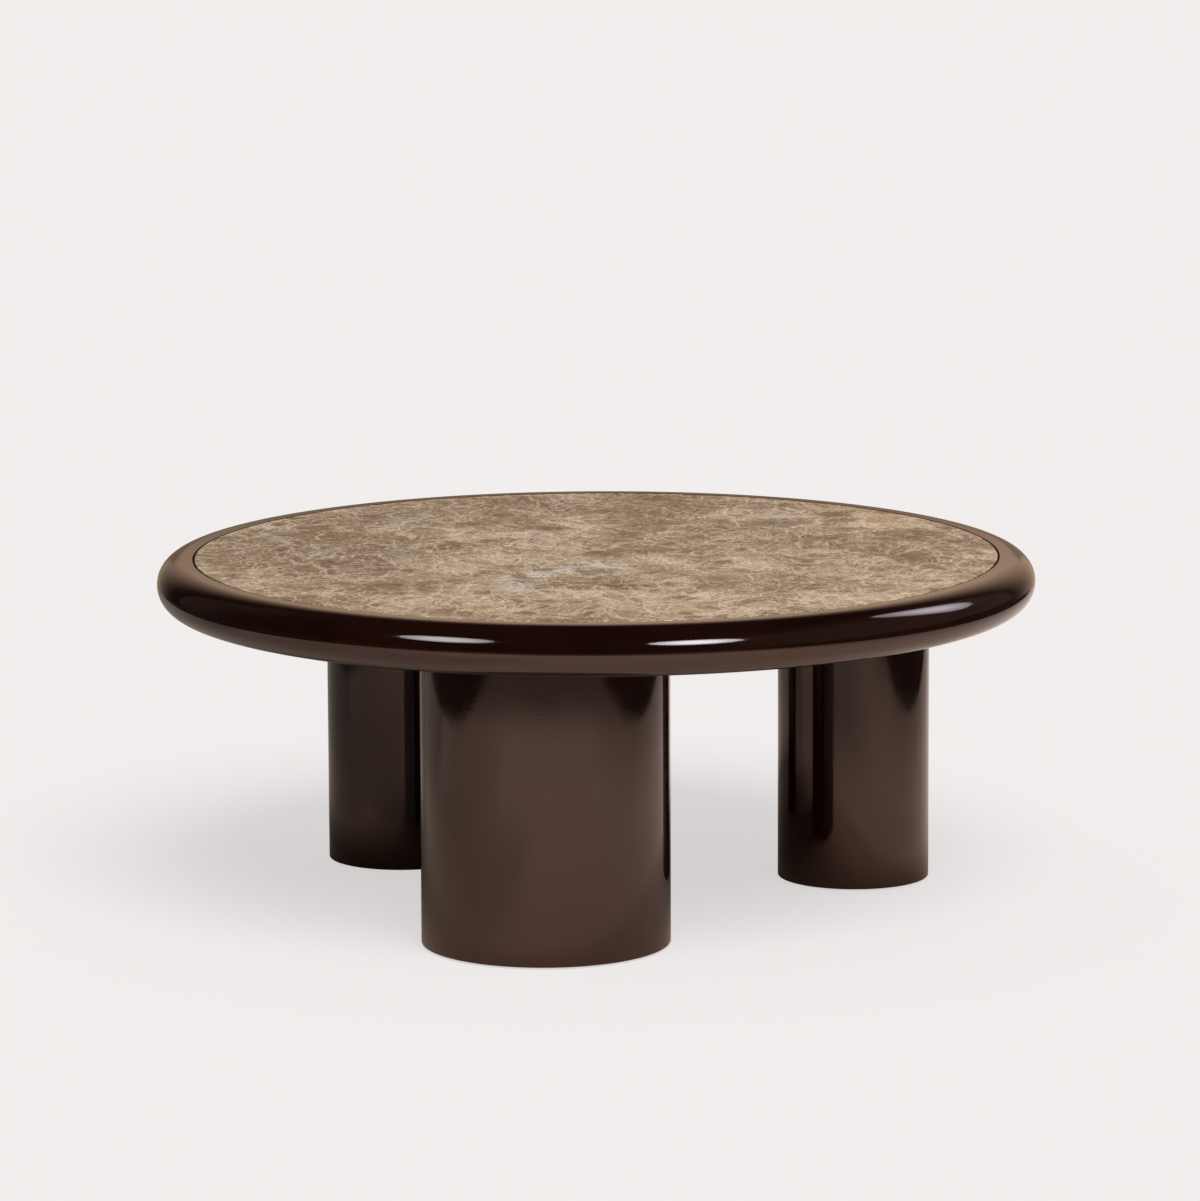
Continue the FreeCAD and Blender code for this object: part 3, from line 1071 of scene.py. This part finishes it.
def buildPaper():
    left, right, front, back = (glossSet[name] for name in ("left", "right", "front", "back"))
    bright, farShade, nearShade = (paperLook[name] for name in ("bright", "farShade", "nearShade"))
    finish, tree = emptyFinish("paper")
    where = ownPlace(tree)
    place = axesOf(tree, where)

    def fade(value, name):
        return span(tree, value, *paperLook[name])

    # The bright colour is the paper's own; the darker colours over it are painted shade, and the left end's
    # lift is painted light
    slope = math2(tree, "SUBTRACT", place[0], times(tree, place[1], paperLook["lean"]))
    colour = blendColours(tree, fade(slope, "fade"), farShade, bright)
    colour = blendColours(tree, fade(place[0], "rightFade"), colour, farShade)
    leftEnd = times(tree, fade(place[0], "leftEnd"), fade(place[1], "leftEndBack"))
    colour = blendColours(tree, leftEnd, colour, bright)
    out = vector2(tree, "LENGTH", {0: where})["Value"]
    colour = blendColours(tree, fade(out, "nearRing"), colour, nearShade)
    colour = blendColours(tree, fade(out, "nearFade"), colour, nearShade)
    reach = vector2(tree, "DISTANCE", {0: where, 1: paperLook["legFoot"]})["Value"]
    shade = times(tree, fade(reach, "footShade"), fade(place[0], "footShadeRight"))
    colour = blendColours(tree, shade, colour, farShade)
    ahead = times(tree, fade(reach, "frontFade"), fade(place[1], "frontFadeBack"))
    colour = blendColours(tree, ahead, colour, glossSet["grey"])
    lit = addNode(tree, "BsdfDiffuse", {"Color": colour}).outputs[0]
    addNode(tree, "OutputMaterial", {"Surface": lit})
    onlyInGloss(flatPiece("paper", lying(left, right, front, back, paperLook["level"]), finish))


# Bare floor in front of the paper: it glows grey with painted light, no lamp, fading to dark further out
bareFloorLook = {
    "reach": 3.0,  # how far it goes on, in lengths of the paper's front
    "darkFrom": 2.0,
    "level": 0.0006,
}


def buildBareFloor():
    left, right, front = (glossSet[name] for name in ("left", "right", "front"))
    finish, tree = emptyFinish("bareFloor")
    fade = span(tree, axesOf(tree, ownPlace(tree))[1], front * bareFloorLook["darkFrom"], front)
    shine(tree, blendColours(tree, fade, glossSet["dark"], glossSet["grey"]))
    corners = lying(left, right, front * bareFloorLook["reach"], front, bareFloorLook["level"])
    onlyInGloss(flatPiece("bareFloor", corners, finish))


# The wall glows with painted light, no lamp: fading upwards and to both sides, and dimmer at its foot behind
# the table
wallLook = {
    "colour": (0.70, 0.49, 0.34, 1.0),
    "width": 2.8,  # to either side
    "height": 3.4,
    "rise": (1.3, 3.2, 1.0, 0.06),
    "foot": (0.68, 0.82, 0.45, 1.0),  # less bright low down behind the table
    "footEnds": (0.75, 1.05),
    "leftFade": (-2.4, 0.0),
    "rightFade": (0.7, 2.8, 1.0, 0.05),
}


def buildWall():
    finish, tree = emptyFinish("paperWall")
    place = axesOf(tree, ownPlace(tree))

    def fade(value, name):
        return span(tree, value, *wallLook[name])

    aside = fade(math2(tree, "ABSOLUTE", place[0], 0.0), "footEnds")
    foot = larger(tree, aside, fade(place[2], "foot"))
    rise = times(tree, fade(place[2], "rise"), foot)
    across = times(tree, fade(place[0], "leftFade"), fade(place[0], "rightFade"))
    shine(tree, blendColours(tree, times(tree, across, rise), glossSet["dark"], wallLook["colour"]))
    wide, back = wallLook["width"], glossSet["back"]
    onlyInGloss(flatPiece("paperWall", standing((-wide, back), (wide, back), 0, wallLook["height"]), finish))


# The dark room glows dark, painted shade round the set, with painted dim light in places and a floor painted
# a little lighter
roomLook = {
    "floor": (0.034, 0.028, 0.024, 1.0),
    "floorRise": (0.01, 0.3, 1.0, 0.0),
    "dusk": (0.11, 0.09, 0.08, 1.0),  # painted dim light, to the right and back left of the room
    "duskLeft": (-5.0, -2.0, 1.0, 0.0),
    "duskBack": (1.0, 4.5, 0.0, 0.45),
    "duskRight": (3.0, 7.0),
    "radius": 8.0,
    "height": 6.0,
    "level": 0.0004,
    "segments": 48,
}


def buildRoom():
    finish, tree = emptyFinish("darkRoom")
    place = axesOf(tree, ownPlace(tree))

    def fade(value, name):
        return span(tree, value, *roomLook[name])

    duskLeft = times(tree, fade(place[0], "duskLeft"), fade(place[1], "duskBack"))
    dusk = larger(tree, duskLeft, fade(place[0], "duskRight"))
    colour = blendColours(tree, dusk, glossSet["dark"], roomLook["dusk"])
    shine(tree, blendColours(tree, fade(place[2], "floorRise"), colour, roomLook["floor"]))
    radius, height = roomLook["radius"], roomLook["height"]
    mesh = bpy.data.meshes.new("darkRoom")
    form = bmesh.new()
    bmesh.ops.create_cone(form, cap_ends=True, segments=roomLook["segments"], radius1=radius, radius2=radius,
                          depth=height)
    bmesh.ops.translate(form, verts=form.verts, vec=(0, 0, height / 2 + roomLook["level"]))
    form.to_mesh(mesh)
    form.free()
    onlyInGloss(setPiece("darkRoom", mesh, finish))


# Sheer grey cards beside the slim legs, seen in their gloss alone: painted shade that holds back the
# paper there. Both ends as places to the camera's right and away from it, heights between which a card
# sets in, and its density at two places along it

legShadeCards = {
    "colour": (0.08, 0.10, 0.12, 1.0),
    "top": 0.335,
    "cards": {
        "shadeCardRight": {
            "ends": ((0.15, -0.11), (0.5, -0.11)),
            "rise": (0.06, 0.2),
            "density": (0.27, 0.5, 0.6, 0.0),
        },
        "shadeCardLeft": {
            "ends": ((-0.42, 0.01), (-0.17, 0.01)),
            "rise": (0.018, 0.055),
            "density": (-0.42, -0.25, 0.44, 0.55),
        },
        "shadeCardLeftSide": {
            "ends": ((-0.42, 0.36), (-0.42, 0.01)),
            "rise": (0.018, 0.055),
            "density": (0.2, 0.36, 0.44, 0.0),
        },
    },
}


def buildLegShadeCards():
    for name, card in legShadeCards["cards"].items():
        finish, tree = emptyFinish(name)
        place = axesOf(tree, ownPlace(tree))
        start, end = card["ends"]
        along = place[0] if start[1] == end[1] else place[1]
        dense = times(tree, span(tree, along, *card["density"], False), span(tree, place[2], *card["rise"]))
        fromLeg = addNode(tree, "NewGeometry").outputs["Backfacing"]  # clear from the other side
        dense = times(tree, dense, fromLeg)
        clear = addNode(tree, "BsdfTransparent").outputs[0]
        grey = addNode(tree, "Emission", {"Color": legShadeCards["colour"]}).outputs[0]
        sheer = addNode(tree, "MixShader", {0: dense, 1: clear, 2: grey}).outputs[0]
        addNode(tree, "OutputMaterial", {"Surface": sheer})
        onlyInGloss(flatPiece(name, standing(start, end, card["rise"][0], legShadeCards["top"]), finish))


# Round soft boxes mirrored in the rim: place to the camera's right, away from it and up, size,
# brightness in the middle and the share of it left at the edge

softBoxes = {
    "boxLeft": {
        "place": (-1.048, -1.377, 1.354),
        "aim": (-0.143, -0.478, 0.38),
        "size": (0.75, 0.62),
        "glow": 9.6,
        "edge": 0.52,
        "colour": (0.66, 0.83, 1.0),
    },
    "boxMiddle": {
        "place": (0.734, -1.663, 1.261),
        "aim": (0.105, -0.486, 0.378),
        "size": (0.74, 0.56),
        "glow": 19.0,
        "edge": 0.46,
        "colour": (0.59, 0.77, 1.0),
    },
    "boxRight": {
        "place": (1.522, 0.27, 1.31),
        "aim": (0.364, -0.333, 0.385),
        "size": (0.58, 0.99),
        "glow": 5.0,
        "edge": 0.4,
        "colour": (0.77, 0.84, 1.0),
    },
}
boxTaper = (0.1, 0.5)  # from where to where a box falls off, in shares of its width


def hangLamp(name, lamp, place, towards):
    holder = bpy.data.objects.new(name, lamp)
    heading = (Vector(towards) - Vector(place)).to_track_quat("-Z", "Y")
    holder.matrix_world = cameraTurn @ Matrix.Translation(place) @ heading.to_matrix().to_4x4()
    bpy.context.scene.collection.objects.link(holder)
    return holder


def buildSoftBoxes():
    shiny = bpy.data.collections.new("lacquered")  # the boxes light these alone
    for name in ["rimLacquered"] + [side + "LegTube" for side in legSides]:
        shiny.objects.link(bpy.data.objects[name])
    for name, box in softBoxes.items():
        lamp = bpy.data.lights.new(name, "AREA")
        lamp.shape = "ELLIPSE"
        lamp.size, lamp.size_y = box["size"]
        lamp.color = box["colour"]
        lamp.energy = box["glow"] * lamp.size * lamp.size_y * math.pi / 4 * math.pi
        lamp.use_nodes = True
        tree = lamp.node_tree
        tree.nodes.clear()
        across = addNode(tree, "NewGeometry").outputs["Parametric"]
        out = vector2(tree, "DISTANCE", {0: across, 1: (0.5, 0.5, 0.0)})["Value"]
        taper = span(tree, out, *boxTaper, 1.0, box["edge"])
        glow = addNode(tree, "Emission", {"Strength": taper}).outputs[0]
        addNode(tree, "OutputLight", {"Surface": glow})
        holder = hangLamp(name, lamp, box["place"], box["aim"])
        holder.visible_camera = False
        holder.visible_diffuse = False
        holder.light_linking.receiver_collection = shiny


def buildKey():
    rise = math.radians(studio["keyHeight"])
    turn = math.radians(studio["keyTurn"])
    key = bpy.data.lights.new("key", "SUN")
    key.energy = studio["keyShare"] * math.pi / math.sin(rise)
    key.angle = math.radians(studio["keySoftness"])
    toKey = Vector((math.sin(turn) * math.cos(rise), -math.cos(turn) * math.cos(rise), math.sin(rise)))
    hangLamp("key", key, toKey * studio["keyAway"], (0, 0, 0)).visible_glossy = False


buildWorld()
buildFloor()
buildPaper()
buildBareFloor()
buildWall()
buildRoom()
buildLegShadeCards()
buildSoftBoxes()
buildKey()
bpy.context.scene.view_settings.view_transform = "Standard"
print("studio built")
